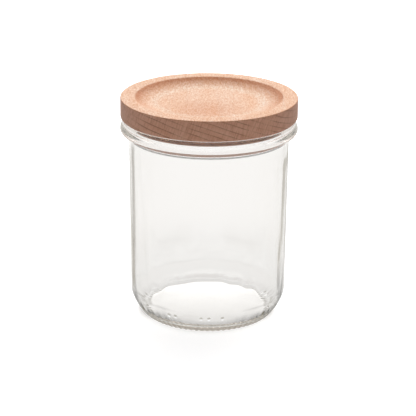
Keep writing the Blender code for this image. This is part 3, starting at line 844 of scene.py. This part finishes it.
def painted_under_rim_shade(tree, place, away):
    """Level of the front of the base's edge, in painted shade: 1, less what it takes in a bow between two
    distances.
    """
    x, y, _ = add_node(tree, "SeparateXYZ", {0: place}).outputs
    aside = add_node(tree, "Math", {0: x}, operation="ABSOLUTE")
    dark = add_node(tree, "MapRange", {
        0: aside, 1: UNDER_RIM_ASIDE_FADE[0], 2: UNDER_RIM_ASIDE_FADE[1],
        3: 1 - UNDER_RIM_LEVELS[0], 4: 1 - UNDER_RIM_LEVELS[1],
    })
    for value, (start, full) in (
        (away, UNDER_RIM_INNER_FADE), (away, UNDER_RIM_OUTER_FADE), (y, UNDER_RIM_FRONT_FADE),
    ):
        dark = add_node(tree, "MapRange", {0: value, 1: start, 2: full, 3: 0.0, 4: dark})
    return add_node(tree, "Math", {0: 1.0, 1: dark}, operation="SUBTRACT")


def table_through_glass(tree, place):
    """How bright the table looks through the glass, as painted light and shade: its strips, the base's edge and
    a level by distance.
    """
    away = add_node(tree, "VectorMath", {0: place}, operation="LENGTH")
    strips = painted_side_strips(tree, place)
    edge = painted_under_rim_shade(tree, place, away)
    level = add_node(tree, "Math", {0: strips, 1: edge}, operation="MULTIPLY")
    _, y, _ = add_node(tree, "SeparateXYZ", {0: place}).outputs
    shade = add_node(tree, "MapRange", {
        0: y, 1: UNDER_FADE[0], 2: UNDER_FADE[1], 3: UNDER_LEVELS[0], 4: UNDER_LEVELS[1],
    })
    near = UNDER_RADIUS
    for far, level_there in TABLE_LEVELS:
        share = add_node(tree, "MapRange", {0: away, 1: near, 2: far}, interpolation_type="SMOOTHSTEP")
        shade = add_node(tree, "Mix", {0: share, 2: shade, 3: level_there})
        near = far
    return add_node(tree, "Math", {0: level, 1: shade}, operation="MULTIPLY")


def white_table():
    """A matt white table: even, bright and dull, so that it keeps only the jar's faint shadow.

    It glows white to the camera, less a painted contact shade beside the base, and through the glass it looks
    as table_through_glass says.
    """
    material, tree = new_material("white_table")
    path = add_node(tree, "LightPath").outputs
    place = add_node(tree, "TexCoord").outputs["Object"]
    _, y, _ = add_node(tree, "SeparateXYZ", {0: place}).outputs
    away = add_node(tree, "VectorMath", {0: place}, operation="LENGTH")
    glow = add_node(tree, "MapRange", {0: away, 1: GLOW_FADE[0], 2: GLOW_FADE[1], 3: GLOW_NEAR, 4: 1.0})
    contact = add_node(tree, "VectorMath", {0: place, 1: CONTACT_MIDDLE}, operation="DISTANCE")
    contact = add_node(tree, "MapRange", {0: contact, 1: CONTACT_FADE[0], 2: CONTACT_FADE[1]})
    depth = add_node(tree, "MapRange", {
        0: y, 1: CONTACT_DEPTH_FADE[0], 2: CONTACT_DEPTH_FADE[1], 3: CONTACT_LEVELS[0], 4: CONTACT_LEVELS[1],
    })
    contact = add_node(tree, "Math", {0: contact, 1: depth}, operation="MULTIPLY")
    glow = add_node(tree, "Math", {0: glow, 1: contact}, operation="SUBTRACT")
    glow = add_node(tree, "Math", {0: path["Is Camera Ray"], 1: glow}, operation="MULTIPLY")
    light = add_node(tree, "Emission", {"Color": WHITE, "Strength": glow})
    paint = add_node(tree, "BsdfDiffuse", {"Color": linear(TABLE_PAINT)})
    straight_on = add_node(tree, "AddShader", {0: light, 1: paint})
    level = table_through_glass(tree, place)
    in_glass = add_node(tree, "Emission", {"Color": linear(TABLE_WHITE), "Strength": level})
    glass_ray = add_node(tree, "Math", {
        0: path["Is Glossy Ray"], 1: path["Is Transmission Ray"],
    }, operation="MAXIMUM")
    shader = add_node(tree, "MixShader", {0: glass_ray, 1: straight_on, 2: in_glass})
    add_node(tree, "OutputMaterial", {"Surface": shader})
    return material


def build_floor():
    """A wide round table top at the jar's base: x = radius * cos(angle) and y = radius * sin(angle)."""
    angle = np.arange(FLOOR_SIDES) / FLOOR_SIDES * 2 * math.pi
    rim = np.stack([np.cos(angle), np.sin(angle), np.zeros(FLOOR_SIDES)], 1) * FLOOR_RADIUS
    mesh = bpy.data.meshes.new("floor")
    mesh.from_pydata(rim.tolist(), [], [list(range(FLOOR_SIDES))])
    mesh.materials.append(white_table())
    floor = bpy.data.objects.new("floor", mesh)
    bpy.context.scene.collection.objects.link(floor)


OVERHEAD_LEVEL = 3.0         # what the glass mirrors of the soft boxes above it, against 1 for the white walls
OVERHEAD_FADE = (0.35, 0.7)  # upward parts of a direction between which they come
FILL_LEVEL = 0.22            # what the walls give the wood and the table


def build_world():
    """White all round for what the camera sees, straight or in the glass, and a weaker fill on the wood."""
    world = bpy.data.worlds.new("studio")
    world.use_nodes = True
    tree = world.node_tree
    tree.nodes.clear()
    path = add_node(tree, "LightPath").outputs
    direction = add_node(tree, "TexCoord").outputs["Generated"]
    _, _, upward = add_node(tree, "SeparateXYZ", {0: direction}).outputs
    seen = 0.0
    for ray in ("Is Glossy Ray", "Is Transmission Ray", "Is Camera Ray"):
        seen = add_node(tree, "Math", {0: seen, 1: path[ray]}, operation="MAXIMUM")
    above = add_node(tree, "MapRange", {
        0: upward, 1: OVERHEAD_FADE[0], 2: OVERHEAD_FADE[1], 3: 1.0, 4: OVERHEAD_LEVEL,
    })
    strength = add_node(tree, "MapRange", {0: seen, 3: FILL_LEVEL, 4: above})
    sky = add_node(tree, "Background", {"Color": WHITE, "Strength": strength})
    add_node(tree, "OutputWorld", {"Surface": sky})
    bpy.context.scene.world = world


LAMP_PLACE = Vector((0.3, 2.2, 2.8))
LAMP_TARGET = Vector((0, 0, 0.1))
LAMP_SIZE = 2.0
LAMP_POWER = 120.0


def build_lamp():
    """A square soft box high behind the jar, which shows neither through the glass nor in it."""
    data = bpy.data.lights.new("overhead", "AREA")
    data.shape = "SQUARE"
    data.size = LAMP_SIZE
    data.energy = LAMP_POWER
    lamp = bpy.data.objects.new("overhead", data)
    bpy.context.scene.collection.objects.link(lamp)
    lamp.location = LAMP_PLACE
    lamp.rotation_euler = (LAMP_TARGET - LAMP_PLACE).to_track_quat("-Z", "Y").to_euler()
    lamp.visible_glossy = False
    lamp.visible_transmission = False


build_camera()
build_floor()
build_world()
build_lamp()
bpy.context.scene.view_settings.view_transform = "Standard"

jar = build_jar()
jar.data.materials.append(soda_lime_glass())
lid = build_lid()
lid.data.materials.append(turned_beech())
seal = build_seal()
seal.data.materials.append(clear_silicone())

for piece, body, node, slot in (
    (jar, "jar", "glass_jar", "clear_glass"),
    (lid, "lid", "beech_lid", "beech"),
    (seal, "lid", "silicone_seal", "silicone"),
):
    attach(piece, body)
    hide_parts(node)
